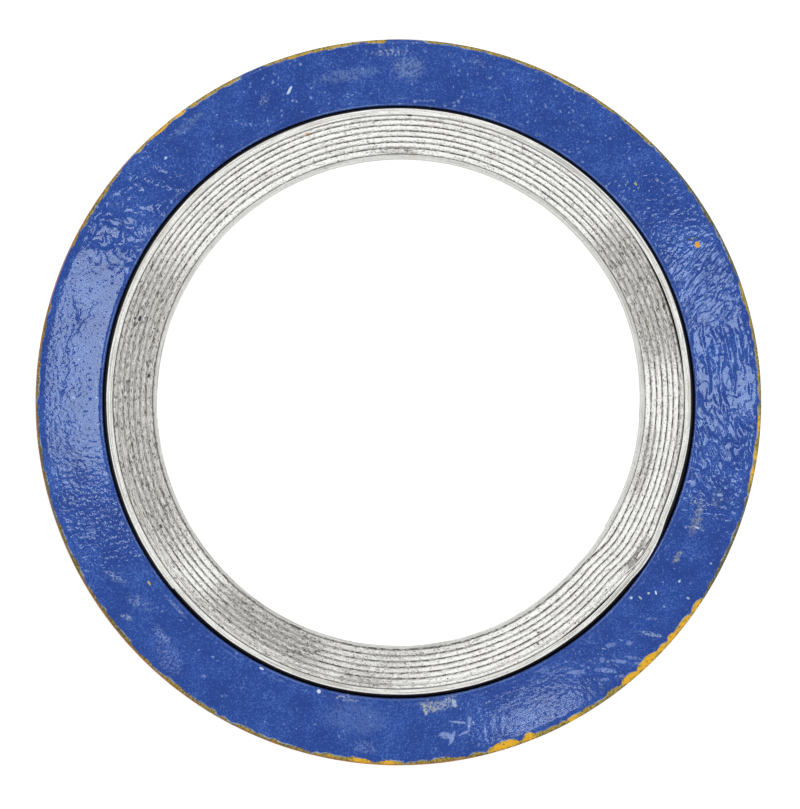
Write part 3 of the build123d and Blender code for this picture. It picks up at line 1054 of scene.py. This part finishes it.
        # Each turn is painted grey towards its low inner side, as painted shade of its crowned face.
        low_side_shade = s.attribute("across") + (coarse - 0.5) * 0.8 + (grain - 0.5) * 0.5
        low_side_shade = s.rise(low_side_shade, 0.02, 0.40)
        colour = s.tint(low_side_shade * (1.0 - dull * 0.80), self.dull, self.burnished)
        smudged = coarse * s.blend(dull, 0.55, 0.25) + grain * s.blend(dull, 0.45, 0.75) - low_side_shade * 0.05
        colour = s.tint(s.rise(smudged, 0.50, 0.60) * 0.65, colour, self.smudge)
        mottled = s.streaks(1.3, 0.30, 2.0, 0.7) + (grain - 0.5) * 0.6
        speckle = s.rise(s.blend(dull, grain, mottled) + (coarse - 0.5) * 0.2 + streak * 0.4, 0.53, 0.63)
        colour = s.tint(speckle * s.blend(dull, 0.45, 0.90), colour, self.dark)
        glint = s.rise(s.streaks(1.2, 0.27, 1.0, 0.7) + streak * 0.4, 0.52, 0.61)
        return s.tint(glint * s.blend(dull, 0.75, 0.42), colour, self.burnished)

    def _turn_lines(self, s: Surface, dull: Wire) -> Wire:
        """The dark lines where each turn meets the strip: dirt at the joint, and painted shade of the
        recessed edge.

        Args:
            s: The material's tree.
            dull: How dull each place is.

        Returns:
            1 in the lines, which gape round the last turn.
        """
        across = s.attribute("across")
        ply = s.attribute("ply")
        jag = s.streaks(0.6, 0.5, 3.0, 0.75) - 0.5
        first = s.rise(ply, self.first_turn_end + 0.02, self.first_turn_end - 0.02)
        last = s.rise(ply, self.last_turn_start - 0.02, self.last_turn_start + 0.02)
        gap = s.within(self.gaps[0]) + s.within(self.gaps[1])
        inner_line = s.rise(across + jag * 0.5 - first * 0.13 - dull * 0.06, 0.05, -0.02)
        outer_line = s.rise(across - jag * 0.4 + last * (gap * 0.10 + 0.22) + dull * 0.03, 0.98, 1.03)
        return s.larger(inner_line, outer_line)


@dataclass(frozen=True)
class StudioWhite:
    """The pale sheet under the gasket, which keeps its soft shadow."""

    sheet: Colour = (0.86, 0.86, 0.86, 1.0)
    own_light: float = 0.55

    def material(self) -> bpy.types.Material:
        """The sheet as a material.

        Returns:
            A material that reads as white to the camera and in gloss.
        """
        s = Surface("studio_sheet")
        return s.finish(
            Base_Color=self.sheet,
            Roughness=0.9,
            Specular_IOR_Level=0.0,
            Emission_Color=WHITE,
            Emission_Strength=s.seen() * self.own_light,
        )


@dataclass(frozen=True)
class Swell:
    """A place where the winding stands out from round, or is let in.

    Args:
        centre: Its middle angle.
        half: Half the angle that it covers.
        height: How far out it stands where it is full.
        from_radius: The radius at which it begins to show.
        to_radius: The radius at which it is full.
    """

    centre: float
    half: float
    height: float
    from_radius: float = 55.0
    to_radius: float = 60.325


@dataclass(frozen=True)
class SlackArc:
    """A stretch where the last filler turn has slackened, which leaves a dark crescent.

    Args:
        centre: Its middle angle.
        half: Half the angle that it covers.
        share: How much of the full slack it has.
    """

    centre: float
    half: float
    share: float


class TapeKind(Enum):
    """What a wound tape is made of, as the number of plies that it reaches across."""

    STRIP = 0
    FILLER = 1


@dataclass
class Winding:
    """The rule that strip and filler share: round turns with one S-bend each, one step further out."""

    first_ply_radius: float = 50.4
    ply_pitch: float = 0.2
    filled_pitch: float = 1.175
    inner_plies: int = 4
    filler_turns: int = 7
    outer_plies: int = 6
    half_width: float = STRIP_HALF_WIDTH
    chevron_depth: float = 1.0
    bend_start: float = 318.0
    bend_end: float = 329.0
    strip_end: float = 219.6
    steps_per_turn: int = 450
    least_thickness: float = 0.004
    straight_core: float = 1.1
    crown_ripple: float = 0.35
    wander: float = 0.07
    slack: float = 0.38
    swells: tuple[Swell, ...] = (
        Swell(352.0, 34.0, -0.30),
        Swell(341.0, 12.0, -0.18),
        Swell(165.0, 78.0, -0.20),
        Swell(329.5, 7.0, 0.34),
        Swell(0.0, 180.0, -0.09),
        Swell(180.0, 180.0, -0.09),
        Swell(310.0, 16.0, -0.12),
        Swell(343.0, 42.0, -0.52, 59.6, 57.2),
        Swell(160.0, 95.0, -0.18, 59.6, 57.6),
        Swell(160.0, 95.0, -0.18, 52.2, 51.0),
        Swell(180.0, 180.0, -0.26, 52.2, 51.0),
        Swell(0.0, 180.0, -0.14, 52.2, 51.0),
        Swell(332.0, 10.0, -0.15, 52.2, 51.0),
        Swell(308.0, 14.0, -0.20, 52.2, 51.0),
    )
    slack_arcs: tuple[SlackArc, ...] = (
        SlackArc(19.0, 17.0, 1.0),
        SlackArc(345.0, 18.0, 0.45),
        SlackArc(312.0, 9.0, 0.8),
    )

    @property
    def filled_outer_radius(self) -> float:
        """The radius at which the last filler turn ends."""
        inner_face = self.first_ply_radius + self.ply_pitch * (self.inner_plies - 1.5)
        return inner_face + self.filled_pitch * self.filler_turns

    @property
    def bend_share(self) -> float:
        """The S-bend's part of a turn."""
        return (self.bend_end - self.bend_start) / FULL_TURN

    @property
    def last_ply(self) -> float:
        """The strip's length in turns."""
        plies = self.inner_plies + self.outer_plies + self.filler_turns - 1
        return plies - 1 + (FULL_TURN - self.bend_end + self.strip_end) / FULL_TURN

    @cached_property
    def tree(self) -> bpy.types.NodeTree:
        """The geometry tree that winds a section into turns.

        Returns:
            A tree with named inputs for the sizes of the winding and of the tape.
        """
        tree = bpy.data.node_groups.new("wound_tape", "GeometryNodeTree")
        tree.is_modifier = True
        kinds = {"Section": "NodeSocketObject", "Points": "NodeSocketInt", "Finish": "NodeSocketMaterial"}
        sizes = ("First turn", "Last turn", "Plies across", "Face offset", "First ply radius", "Ply pitch",
                 "Filled pitch", "Bare inner plies", "Filled turns", "Half width", "Chevron depth", "Wander",
                 "Slack")
        kinds.update(dict.fromkeys(sizes, "NodeSocketFloat"))
        for name, kind in kinds.items():
            tree.interface.new_socket(name=name, in_out="INPUT", socket_type=kind)
        tree.interface.new_socket(name="Geometry", in_out="OUTPUT", socket_type="NodeSocketGeometry")
        g = Bench(tree)
        inputs = g.node("NodeGroupInput", {})
        size = {name: Wire(g, inputs.outputs[name]) for name in kinds}

        # The section is swept along a straight line of points, one for each step of the winding.
        outline = g.wire("GeometryNodeObjectInfo", {"Object": size["Section"]}, out="Geometry")
        place = g.wire("GeometryNodeInputPosition", {})
        outline = self._keep(g, outline, "section", place, "FLOAT_VECTOR")
        outline = g.wire("GeometryNodeMeshToCurve", {"Mesh": outline})
        path = g.wire("GeometryNodeMeshLine", {"Count": size["Points"], "Offset": (0.0, 0.0, 0.01)})
        share = g.wire("GeometryNodeInputIndex", {}) / (size["Points"] - 1.0)
        turn = size["First turn"] + (size["Last turn"] - size["First turn"]) * share
        path = self._keep(g, path, "ply", turn)
        path = g.wire("GeometryNodeMeshToCurve", {"Mesh": path})
        tape = g.wire("GeometryNodeCurveToMesh", {"Curve": path, "Profile Curve": outline, "Fill Caps": True})

        # Each point of the sweep is then set in its place on its turn.
        kept = g.wire("GeometryNodeInputNamedAttribute", {"Name": "section"}, data_type="FLOAT_VECTOR")
        across, height, crown = g.split(kept)
        point = self._wound_point(g, size, across, height, crown)
        tape = g.wire("GeometryNodeSetPosition", {"Geometry": tape, "Position": g.scaled(point, MM)})
        tape = self._keep(g, tape, "across", across)
        tape = g.wire("GeometryNodeRemoveAttribute", {"Geometry": tape, "Name": "section"})
        tape = g.wire("GeometryNodeFlipFaces", {"Mesh": tape})
        tape = g.wire("GeometryNodeRealizeInstances", {"Geometry": tape})
        tape = g.wire("GeometryNodeSetMaterial", {"Geometry": tape, "Material": size["Finish"]})
        g.node("NodeGroupOutput", {"Geometry": tape})
        return tree

    def _keep(self, g: Bench, geometry: Wire, name: str, value: Wire, kind: str = "FLOAT") -> Wire:
        """Stores a value on each point under a name."""
        feeds = {"Geometry": geometry, "Name": name, "Value": value}
        return g.wire("GeometryNodeStoreNamedAttribute", feeds, data_type=kind, domain="POINT")

    def _wound_point(self, g: Bench, size: dict[str, Wire], across: Wire, height: Wire, crown: Wire) -> Wire:
        """Where a point of the section lies once it is wound.

        Args:
            g: The tree.
            size: The tree's inputs by name.
            across: The point's share of the way from the tape's inner face to its outer one.
            height: Its height.
            crown: How far it stands proud of the strip's edge where the tape is full.

        Returns:
            The point, in millimetres.
        """
        ply = g.wire("GeometryNodeInputNamedAttribute", {"Name": "ply"})
        inner = self._turn_radius(g, size, ply) + size["Face offset"]
        outer = self._turn_radius(g, size, ply + size["Plies across"]) - size["Face offset"]
        full = size["Filled pitch"] - 2.0 * size["Face offset"]
        thickness = g.larger(outer - inner, self.least_thickness)
        flank = size["Chevron depth"] * (1.0 - abs(height) / size["Half width"])
        nominal = inner + thickness * across
        angle = (ply + self.bend_end / FULL_TURN) * math.tau
        outwards = g.joined(g.math("COSINE", angle), g.math("SINE", angle), 0.0)
        above_fold = g.rise(abs(height), self.straight_core, self.half_width)
        edge_radius = nominal + (self._uneven(g, size, nominal, outwards) - nominal) * above_fold
        ripple = g.noise(g.point(outwards, 70.0, nominal * 2.0), 1.0)
        proud = crown * g.smaller(thickness / full, 1.0) * (1.0 - ripple * self.crown_ripple)
        return g.point(outwards, edge_radius + flank, height + proud)

    def _turn_radius(self, g: Bench, size: dict[str, Wire], turn: Wire) -> Wire:
        """The radius of the strip's middle, at the strip's edge.

        Args:
            g: The tree.
            size: The tree's inputs by name.
            turn: How many turns have gone round so far.

        Returns:
            The radius, which steps out at the end of each turn in a smooth S.
        """
        whole = g.math("FLOOR", turn)
        step = whole + g.rise(turn - whole, 1.0 - self.bend_share, 1.0)
        bare = size["Bare inner plies"] - 1.0
        filled = g.smaller(g.larger(step - bare, 0.0), size["Filled turns"])
        extra = size["Filled pitch"] - size["Ply pitch"]
        return size["First ply radius"] + size["Ply pitch"] * step + extra * filled

    def _uneven(self, g: Bench, size: dict[str, Wire], radius: Wire, outwards: Wire) -> Wire:
        """Takes a true radius to the uneven one that the wound tape has.

        Args:
            g: The tree.
            size: The tree's inputs by name.
            radius: The true radius.
            outwards: The direction from the axis.

        Returns:
            The radius with the winding's wander, swells and slack.
        """
        loose = (g.noise(g.point(outwards, 7.0, radius * 0.4), 1.0, 3.0) - 0.5) * 2.0
        held = g.rise(radius, self.filled_outer_radius + 0.6, self.filled_outer_radius - 0.4, 0.25, 1.0)
        uneven = radius + loose * held * size["Wander"]
        for swell in self.swells:
            arc = g.arc(outwards, swell.centre, swell.half / 2, swell.half)
            uneven = uneven + arc * g.rise(radius, swell.from_radius, swell.to_radius, 0.0, swell.height)
        near_outside = g.rise(radius, self.filled_outer_radius - 0.8, self.filled_outer_radius - 0.02)
        for slack in self.slack_arcs:
            arc = g.arc(outwards, slack.centre, slack.half / 2, slack.half)
            uneven = uneven - arc * near_outside * size["Slack"] * slack.share
        return uneven

    def wind(self, name: str, kind: TapeKind, section: Section, turns: tuple[float, float], offset: float,
             finish: bpy.types.Material) -> bpy.types.Object:
        """Winds one tape.

        Args:
            name: The piece's name.
            kind: Whether it is the strip or the filler between two plies.
            section: The tape's outline: share across, height, and crown above the strip's edge.
            turns: The turns at which the tape starts and ends.
            offset: From a ply's middle to the tape's face.
            finish: Its material.

        Returns:
            The tape as a plain mesh object.
        """
        outline = bpy.data.meshes.new(name + "_section")
        count = len(section)
        outline.from_pydata(section, [(i, (i + 1) % count) for i in range(count)], [])
        pattern = add_object(name + "_section", outline)
        holder = add_object(name + "_wound", bpy.data.meshes.new(name + "_wound"))
        values: dict[str, Feed] = {
            "Section": pattern,
            "Points": round((turns[1] - turns[0]) * self.steps_per_turn),
            "First turn": turns[0],
            "Last turn": turns[1],
            "Plies across": float(kind.value),
            "Face offset": offset,
            "First ply radius": self.first_ply_radius,
            "Ply pitch": self.ply_pitch,
            "Filled pitch": self.filled_pitch,
            "Bare inner plies": float(self.inner_plies),
            "Filled turns": float(self.filler_turns),
            "Half width": self.half_width,
            "Chevron depth": self.chevron_depth,
            "Wander": self.wander,
            "Slack": self.slack * kind.value,
            "Finish": finish,
        }
        made = plain_mesh(name, holder, self.tree, values)
        bpy.data.objects.remove(pattern)
        return made


def plain_mesh(name: str, holder: bpy.types.Object, tree: bpy.types.NodeTree,
               values: dict[str, Feed]) -> bpy.types.Object:
    """Runs a geometry tree on an object and keeps the result as a plain mesh.

    Args:
        name: The finished piece's name.
        holder: The object that carries the tree, which is removed.
        tree: The geometry tree.
        values: What each named input takes.

    Returns:
        A new object at the origin with the finished mesh and no modifier.
    """
    sharp_angle = math.radians(40)
    modifier = holder.modifiers.new("rule", "NODES")
    modifier.node_group = tree
    for item in tree.interface.items_tree:
        if item.in_out == "INPUT":
            modifier[item.identifier] = values[item.name]
    depsgraph = bpy.context.evaluated_depsgraph_get()
    mesh = bpy.data.meshes.new_from_object(holder.evaluated_get(depsgraph))
    mesh.name = name
    bpy.data.objects.remove(holder)
    mesh.shade_smooth()
    mesh.set_sharp_from_angle(angle=sharp_angle)
    return add_object(name, mesh)


def hand_over(piece: bpy.types.Object, node: str) -> bpy.types.Object:
    """Sets a piece on the gasket's one body and hides the CAD node that it replaces.

    Args:
        piece: The finished piece.
        node: The CAD node that it replaces.

    Returns:
        The piece.
    """
    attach(piece, "root")
    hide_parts(node)
    return piece


@dataclass
class MetalStrip:
    """The V-section strip, wound from the bare inner plies to its outer end."""

    winding: Winding
    finish: StripSteel = field(default_factory=StripSteel)
    thickness: float = 0.2
    rounding: float = 0.05
    fold: float = 0.16
    clearance: float = 0.008

    def section(self) -> Section:
        """The strip's outline, with rounded edges and a blunt fold.

        Returns:
            Its points: share across, height, and no crown.
        """
        top = self.winding.half_width
        side = top - self.rounding
        outside = [(0.25, top, 0.0), (0.75, top, 0.0), (1.0, side, 0.0), (1.0, self.fold, 0.0)]
        right = outside + [(share, -height, 0.0) for share, height, _ in reversed(outside)]
        left = [(0.0, -side, 0.0), (0.0, -self.fold, 0.0), (0.0, self.fold, 0.0), (0.0, side, 0.0)]
        return right + left

    def build(self) -> bpy.types.Object:
        """Winds the strip and hands it over.

        Returns:
            The strip.
        """
        offset = self.clearance - self.thickness / 2
        turns = (0.0, self.winding.last_ply)
        material = self.finish.material()
        piece = self.winding.wind("wound_strip", TapeKind.STRIP, self.section(), turns, offset, material)
        return hand_over(piece, "metal_strip")


@dataclass
class GraphiteFiller:
    """The filler tape between the plies, proud of the strip's edges and crowned."""

    winding: Winding
    finish: GraphiteFace = field(default_factory=GraphiteFace)
    crown: float = 0.15
    clearance: float = 0.004
    start_bends: float = 0.8
    end_bends: float = 0.05

    def section(self) -> Section:
        """The tape's outline: a low inner shoulder, a crest towards the outside, a steep outer edge.

        Returns:
            Its points: share across, height, and crown.
        """
        top = self.winding.half_width
        shoulder = [(0.0, -0.04), (0.05, 0.45), (0.15, 0.76), (0.36, 0.92)]
        crest = [(0.62, 1.0), (0.85, 0.97), (0.95, 0.66), (1.0, -0.04)]
        upper = [(share, top, self.crown * level) for share, level in shoulder + crest]
        lower = [(share, -height, -lift) for share, height, lift in reversed(upper)]
        return upper + [(1.0, 0.0, 0.0)] + lower + [(0.0, 0.0, 0.0)]

    def build(self) -> bpy.types.Object:
        """Winds the filler, from within its first S-bend to its last one, and hands it over.

        Returns:
            The filler.
        """
        winding = self.winding
        inner_turns = winding.inner_plies - 1
        first = inner_turns - winding.bend_share * self.start_bends
        last = inner_turns + winding.filler_turns - winding.bend_share * self.end_bends
        offset = winding.ply_pitch / 2 + self.clearance
        material = self.finish.material()
        piece = winding.wind("wound_filler", TapeKind.FILLER, self.section(), (first, last), offset, material)
        return hand_over(piece, "graphite_filler")


@dataclass(frozen=True)
class WornArc:
    """A stretch of the rim where the coating is gone.

    Args:
        start: Where it begins.
        end: Where it ends.
        reach: How far in from the rim the bare primer shows.
        grime: How dark and olive it is, 0 to 1.
    """

    start: float
    end: float
    reach: float
    grime: float


@dataclass(frozen=True)
class Chip:
    """A lobe of enamel that has flaked off the rim.

    Args:
        angle: Its middle.
        half: Half its width.
        reach: How far in from the rim it goes.
    """

    angle: float
    half: float
    reach: float


@dataclass
class CentringRing:
    """The flat steel ring round the winding, with its coating's soft edges and its chips."""

    finish: BlueCoating = field(default_factory=BlueCoating)
    bore_radius: float = RING_BORE
    rim_radius: float = RING_RIM
    half_thickness: float = 1.5
    groove_depth: float = 0.325
    groove_half_width: float = 0.73
    coating_thickness: float = 0.09
    rim_roll: float = 1.25
    rim_drop: float = 0.62
    shoulder_width: float = 1.9
    shoulder_drop: float = 0.02
    rim_side: tuple[float, float] = (0.55, 0.2)
    face_margins: tuple[float, float] = (0.82, 2.1)
    sound_reach: float = -0.12
    usual_grime: float = 0.6
    worn_fade: float = 1.3
    worn_least: float = 0.84
    worn_scallop: float = 0.40
    chip_scallop: float = 0.10
    chip_cleans: float = 0.85
    step_width: float = 0.12
    segments: int = 1200
    face_points: int = 7
    shoulder_points: int = 20
    seed: int = 11
    # Where the painted shade on the rim's edge lies.
    edge_shade_middle: float = 210.0
    edge_shade_half: float = 76.0
    edge_shade_fade: float = 6.0
    # The lip over the bore: how far out from the bore, and how high.
    lip: tuple[tuple[float, float], ...] = (
        (0.0, 0.95),
        (-0.04, 1.08),
        (-0.13, 1.24),
        (-0.15, 1.35),
        (-0.11, 1.43),
        (0.02, 1.468),
        (0.22, 1.485),
        (0.48, 1.494),
        (0.72, 1.499),
    )
    worn_arcs: tuple[WornArc, ...] = (
        WornArc(0.0, 20.0, 0.68, 0.52),
        WornArc(20.0, 45.0, 0.64, 1.00),
        WornArc(45.0, 86.0, 0.66, 0.50),
        WornArc(92.0, 112.0, 0.72, 0.40),
        WornArc(116.0, 126.0, 0.70, 0.45),
        WornArc(126.0, 137.0, 0.64, 0.35),
        WornArc(140.0, 155.0, 0.72, 0.65),
        WornArc(164.0, 180.0, 0.62, 0.85),
        WornArc(180.0, 205.0, 0.62, 1.00),
        WornArc(204.0, 224.0, 0.76, 0.95),
        WornArc(224.0, 240.0, 0.76, 0.68),
        WornArc(240.0, 256.0, 0.76, 0.70),
        WornArc(256.0, 271.0, 0.98, 0.60),
        WornArc(271.0, 284.0, 0.88, 0.68),
        WornArc(284.0, 298.0, 0.96, 0.58),
        WornArc(298.0, 308.0, 1.00, 0.55),
        WornArc(308.0, 327.0, 0.86, 0.50),
        WornArc(327.0, 345.0, 0.68, 0.95),
        WornArc(345.0, 360.0, 0.80, 0.55),
    )
    chips: tuple[Chip, ...] = (
        Chip(286.9, 2.9, 1.80),
        Chip(291.2, 1.2, 1.65),
        Chip(298.8, 1.4, 1.00),
        Chip(309.8, 1.9, 1.55),
        Chip(313.6, 2.6, 1.70),
        Chip(316.9, 1.5, 1.20),
        Chip(319.2, 1.1, 1.35),
        Chip(322.2, 2.0, 1.15),
        Chip(325.6, 1.6, 1.05),
        Chip(348.5, 1.4, 0.85),
        Chip(351.5, 1.0, 0.85),
        Chip(356.5, 1.6, 0.80),
        Chip(127.5, 1.5, 0.70),
        Chip(131.5, 2.0, 0.72),
        Chip(264.0, 1.8, 1.00),
        Chip(268.3, 1.4, 1.00),
    )

    def _half_section(self) -> list[tuple[float, float]]:
        """The upper half of the outline.

        Returns:
            Radius and height of its points, from the groove round the lip and over the face to the rim.
        """
        bore, rim, top = self.bore_radius, self.rim_radius, self.half_thickness
        groove = [(self.groove_depth, 0.0), (self.groove_depth / 2, self.groove_half_width / 2)]
        groove.append((0.0, self.groove_half_width))
        face_from, face_to = self.face_margins
        face = np.linspace(bore + face_from, rim - face_to, self.face_points)
        insets = np.linspace(self.shoulder_width, 0.0, self.shoulder_points)
        points = [(bore + inset, height) for inset, height in groove + list(self.lip)]
        points += [(radius, top) for radius in face]
        points += [(rim - inset, self._shoulder(inset)) for inset in insets]
        points += [(rim, height) for height in self.rim_side]
        return points

    def _shoulder(self, inset: float) -> float:
        """The height of the face near the rim, as it rounds over.

        Args:
            inset: How far in from the rim.

        Returns:
            The height.
        """
        over = max(0.0, 1.0 - inset / self.rim_roll)
        eased = self.shoulder_drop * max(0.0, 1.0 - inset / self.shoulder_width)
        return self.half_thickness - eased - self.rim_drop * over**3.2

    def _reach(self, angles: np.ndarray) -> tuple[np.ndarray, np.ndarray]:
        """How far the bare rim reaches in at each angle, and how grimy it is.

        Args:
            angles: The angles round the ring.

        Returns:
            The reach in millimetres and the grime from 0 to 1.
        """
        rng = np.random.default_rng(self.seed)
        scallop = self._ripple(angles, rng, (24, 60, 150), (0.5, 0.45, 0.3))
        sound = self.sound_reach
        reach = np.full(len(angles), sound)
        grime = np.full(len(angles), self.usual_grime)
        for worn in self.worn_arcs:
            middle, half = (worn.start + worn.end) / 2, (worn.end - worn.start) / 2
            arc = np.clip((half + 0.5 - angles_off(angles, middle)) / self.worn_fade, 0, 1)
            arc = arc * arc * (3 - 2 * arc)
            depth = worn.reach * (self.worn_least + self.worn_scallop * scallop)
            reach = np.maximum(reach, sound + arc * (depth - sound))
            grime = grime * (1 - arc) + worn.grime * arc
        for chip in self.chips:
            off = angles_off(angles, chip.angle) / chip.half
            lobe = np.sqrt(np.clip(1 - off**2, 0, 1))
            reach = np.maximum(reach, chip.reach * lobe * (0.96 + self.chip_scallop * scallop))
            grime = grime * (1 - self.chip_cleans * np.clip(1.3 - off, 0, 1))
        return reach, grime

    def _ripple(self, angles: np.ndarray, rng: np.random.Generator, waves: tuple[int, ...],
                shares: tuple[float, ...]) -> np.ndarray:
        """Seamless uneven waves round the ring, about -1 to 1.

        Args:
            angles: The angles round the ring.
            rng: The seeded source of phases.
            waves: About how many waves go round, for each layer.
            shares: How strong each layer is.

        Returns:
            The value at each angle.
        """
        waves_in_layer, gain = 3, 1.6
        total = np.zeros(len(angles))
        for count, share in zip(waves, shares):
            for _ in range(waves_in_layer):
                number = int(count * rng.uniform(0.75, 1.3))
                phase = rng.uniform(0, math.tau)
                total += share / waves_in_layer * np.sin(np.radians(angles) * number + phase) * gain
        return total

    def _edge_shade(self, angles: np.ndarray, inset: np.ndarray) -> np.ndarray:
        """The brown-orange painted shade on the rim's edge, along the stretch round 210 degrees.

        Args:
            angles: The angles round the ring.
            inset: How far in from the rim each point is.

        Returns:
            The painted shade at each point, 0 to 1.
        """
        rng = np.random.default_rng(self.seed + 1)
        rim_line = self._ripple(angles, rng, (9, 31, 90), (0.6, 0.5, 0.4))
        at_edge = np.clip((0.34 - inset) / 0.14, 0, 1)
        edge_shade_stretch = np.clip((self.edge_shade_half - angles_off(angles, self.edge_shade_middle)) / self.edge_shade_fade, 0, 1)
        return at_edge * (edge_shade_stretch * np.clip(0.85 + 0.5 * rim_line, 0, 1))[:, None]

    def build(self) -> bpy.types.Object:
        """Makes the ring, chips its rim and hands it over.

        Returns:
            The ring's object.
        """
        upper = self._half_section()
        outline = np.array(upper + [(radius, -height) for radius, height in reversed(upper[1:])])
        angles = np.arange(self.segments) * FULL_TURN / self.segments
        reach, grime = self._reach(angles)
        radius, height = (np.tile(column, (self.segments, 1)) for column in outline.T)
        inset = self.rim_radius - radius
        bare = reach[:, None] - inset

        # The coating's thickness is gone where the rim is bare, but for the middle of its side.
        on_face = np.clip((np.abs(height) - 0.3) / 0.4, 0, 1)
        sunk = self.coating_thickness * np.clip((bare + 0.05) / self.step_width, 0, 1) * on_face
        height = height - np.sign(height) * sunk
        radius = radius - 0.5 * sunk * np.clip(1 - inset / 0.4, 0, 1)
        turn = np.radians(angles)[:, None]
        points = np.stack([radius * np.cos(turn), radius * np.sin(turn), height], axis=-1) * MM
        mesh = self._closed_grid(points)
        self._store(mesh, "bare", bare)
        self._store(mesh, "grime", np.tile(grime[:, None], (1, len(outline))))
        self._store(mesh, "edge_shade", self._edge_shade(angles, inset))
        mesh.materials.append(self.finish.material())
        return hand_over(add_object("coated_ring", mesh), "centring_ring")

    def _closed_grid(self, points: np.ndarray) -> bpy.types.Mesh:
        """Joins rows of points into a skin that closes on itself both ways.

        Args:
            points: The points, by row and column.

        Returns:
            The skin as a smooth mesh.
        """
        rows, columns = points.shape[:2]
        index = np.arange(rows * columns).reshape(rows, columns)
        ahead = np.roll(index, -1, axis=0)
        corners = (index, ahead, np.roll(ahead, -1, axis=1), np.roll(index, -1, axis=1))
        faces = np.stack(corners, axis=-1).reshape(-1, 4)
        mesh = bpy.data.meshes.new("coated_ring")
        mesh.from_pydata(points.reshape(-1, 3).tolist(), [], faces.tolist())
        mesh.shade_smooth()
        mesh.update()
        return mesh

    def _store(self, mesh: bpy.types.Mesh, name: str, values: np.ndarray) -> None:
        """Keeps one number for each point of the mesh."""
        layer = mesh.attributes.new(name, "FLOAT", "POINT")
        layer.data.foreach_set("value", values.astype(np.float32).ravel())


@dataclass(frozen=True)
class Softbox:
    """A soft studio lamp that faces a point on the gasket.

    Args:
        name: What it does.
        place: Where it hangs, in metres.
        size: Its width and depth, in metres.
        radiance: How bright its face is, where 1 is white paper.
        tone: The colour of its light.
        turn: How far it is turned about the line that it faces along.
    """

    name: str
    place: Place
    size: tuple[float, float]
    radiance: float
    tone: tuple[float, float, float] = (0.78, 0.90, 1.0)
    turn: float = 0.0


@dataclass
class Studio:
    """Floor, lamps, surroundings and camera; the floor's size and the camera's distance are metres."""

    finish: StudioWhite = field(default_factory=StudioWhite)
    floor_size: float = 6.0
    day_light: float = 0.86
    distance: float = 1.2
    lens: float = 259.7
    lean: float = 2.5
    lean_towards: float = 218.0
    aim: Place = (0.19, -0.55, 0.0)
    softboxes: tuple[Softbox, ...] = (
        Softbox("left_softbox", (-0.0752, 0.0415, 1.0), (0.0467, 0.085), 10.5),
        Softbox("right_softbox", (0.158, 0.044, 1.0), (0.055, 0.074), 12.5, (0.66, 0.81, 1.0)),
        Softbox("front_softbox", (0.0880, -0.0920, 1.0), (0.034, 0.0115), 13.5, (0.72, 0.84, 1.0), 23.5),
        Softbox("top_light", (0.0, 1.1, 1.6), (1.2, 0.8), 2.0, (0.9, 0.95, 1.0)),
    )

    def build(self) -> None:
        """Sets up everything round the gasket."""
        self._floor()
        self._surroundings()
        for softbox in self.softboxes:
            self._lamp(softbox)
        self._camera()
        bpy.context.scene.view_settings.view_transform = "Standard"

    def _floor(self) -> None:
        """Lays the pale sheet at the gasket's lowest point."""
        half, level = self.floor_size / 2, CAD_BOX[0][2]
        mesh = bpy.data.meshes.new("floor")
        corners = [(-half, -half, level), (half, -half, level), (half, half, level), (-half, half, level)]
        mesh.from_pydata(corners, [], [(0, 1, 2, 3)])
        mesh.materials.append(self.finish.material())
        add_object("floor", mesh)

    def _surroundings(self) -> None:
        """Even daylight for matt surfaces, and plain white to the camera and in gloss."""
        world = bpy.data.worlds.new("studio")
        world.use_nodes = True
        bench = Bench(world.node_tree)
        day = bench.wire("ShaderNodeBackground", {"Color": WHITE, "Strength": self.day_light})
        sheet = bench.wire("ShaderNodeBackground", {"Color": WHITE, "Strength": 1.0})
        both = bench.wire("ShaderNodeMixShader", {0: bench.seen(), 1: day, 2: sheet})
        bench.node("ShaderNodeOutputWorld", {"Surface": both})
        bpy.context.scene.world = world

    def _lamp(self, softbox: Softbox) -> None:
        """Hangs one softbox, turned to the gasket.

        Args:
            softbox: The lamp.
        """
        light = bpy.data.lights.new(softbox.name, "AREA")
        light.shape = "RECTANGLE"
        light.size, light.size_y = softbox.size
        light.energy = softbox.radiance * math.pi * light.size * light.size_y
        light.color = softbox.tone
        lamp = add_object(softbox.name, light)
        place = Vector(softbox.place)
        turned = Matrix.Rotation(math.radians(softbox.turn), 4, "Z")
        lamp.matrix_world = Matrix.Translation(place) @ self._facing(place.normalized()) @ turned
        lamp.visible_camera = False

    def _facing(self, back: Vector) -> Matrix:
        """A turn that looks against a direction, with +Y upwards in the view.

        Args:
            back: The unit direction to look against.

        Returns:
            The turn.
        """
        right = Vector((0.0, 1.0, 0.0)).cross(back).normalized()
        upwards = back.cross(right)
        return Matrix((right, upwards, back)).transposed().to_4x4()

    def _camera(self) -> None:
        """Looks down on the gasket, leaning a little to one side."""
        lens = bpy.data.cameras.new("camera")
        lens.lens = self.lens
        lens.clip_start, lens.clip_end = 0.05, 20.0
        lean = math.radians(self.lean)
        back = Vector(heading(self.lean_towards)) * math.sin(lean) + Vector((0.0, 0.0, math.cos(lean)))
        place = Vector(self.aim) * MM + back * self.distance
        camera = add_object("camera", lens)
        camera.matrix_world = Matrix.Translation(place) @ self._facing(back)
        bpy.context.scene.camera = camera


def main() -> None:
    """Builds the gasket's pieces in the order in which it is assembled, then the studio."""
    logging.basicConfig(level=logging.INFO, format="%(name)s: %(message)s")
    winding = Winding()
    for part in (MetalStrip(winding), GraphiteFiller(winding), CentringRing()):
        piece = part.build()
        triangles = sum(len(face.vertices) - 2 for face in piece.data.polygons)
        log.info("%s: %d triangles", piece.name, triangles)
    Studio().build()


if __name__ == "__main__":
    main()
